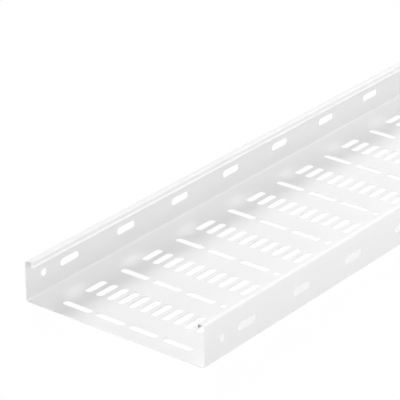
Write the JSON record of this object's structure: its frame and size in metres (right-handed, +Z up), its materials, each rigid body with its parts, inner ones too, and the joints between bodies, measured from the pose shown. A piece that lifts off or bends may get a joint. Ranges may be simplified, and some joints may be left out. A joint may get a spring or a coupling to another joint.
{
  "type": "perforated cable tray",
  "caption": "Open sheet-metal channel with hemmed side walls, its floor and walls punched with rows of slots, which carries and ties down cables along walls and ceilings.",
  "frame": {"origin": "middle of the underside, on the floor that the tray lies on", "axes": "+X along the tray, +Y across it from one side wall to the other, +Z up out of the open channel"},
  "size_m": [3, 0.3, 0.061],
  "materials": {
    "powder_coat": "white satin powder coat over sheet steel"
  },
  "bodies": {
    "root": {"tray": "powder_coat"}
  },
  "joints": []
}
